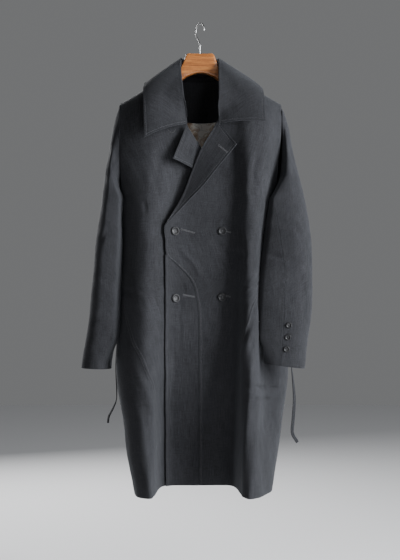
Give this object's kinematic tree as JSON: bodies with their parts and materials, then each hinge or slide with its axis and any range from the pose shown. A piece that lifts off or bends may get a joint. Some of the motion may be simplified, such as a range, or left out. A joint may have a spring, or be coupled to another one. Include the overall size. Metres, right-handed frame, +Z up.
{
  "type": "double-breasted long coat on a wooden hanger",
  "caption": "Long double-breasted coat in charcoal cloth with a large collar, a folded lapel, dark buttons and loose ties, hanging open at the neck on a varnished wooden hanger.",
  "frame": {"origin": "inner top of the hanger's hook, where a rail carries it", "axes": "+Z up, the coat's front faces -Y, the wearer's left side is at +X"},
  "size_m": [0.598, 0.2555, 1.2247],
  "materials": {
    "charcoal_cloth": "fine matt wool-like weave",
    "printed_lining": "smooth satin with a marbled print",
    "dark_horn": "dull black resin like horn",
    "varnished_wood": "clear satin varnish",
    "steel_wire": "bright drawn wire"
  },
  "bodies": {
    "root": {"front_left": "charcoal_cloth", "overlap_left": "charcoal_cloth", "side_left": "charcoal_cloth", "front_right": "charcoal_cloth", "side_right": "charcoal_cloth", "back": "charcoal_cloth", "sleeve_right_top": "charcoal_cloth", "sleeve_right_under": "charcoal_cloth", "sleeve_left_top": "charcoal_cloth", "sleeve_left_under": "charcoal_cloth", "collar_leaf": "charcoal_cloth", "collar_stand": "charcoal_cloth", "lapel_left": "charcoal_cloth", "lapel_right": "charcoal_cloth", "back_facing": "charcoal_cloth", "lining": "printed_lining", "tie_right": "charcoal_cloth", "tie_left": "charcoal_cloth", "front_button_1": "dark_horn", "front_button_2": "dark_horn", "front_button_3": "dark_horn", "front_button_4": "dark_horn", "cuff_button_right_1": "dark_horn", "cuff_button_right_2": "dark_horn", "cuff_button_right_3": "dark_horn", "cuff_button_left_1": "dark_horn", "cuff_button_left_2": "dark_horn", "cuff_button_left_3": "dark_horn", "hanger_wood": "varnished_wood", "hanger_hook": "steel_wire"}
  },
  "joints": []
}
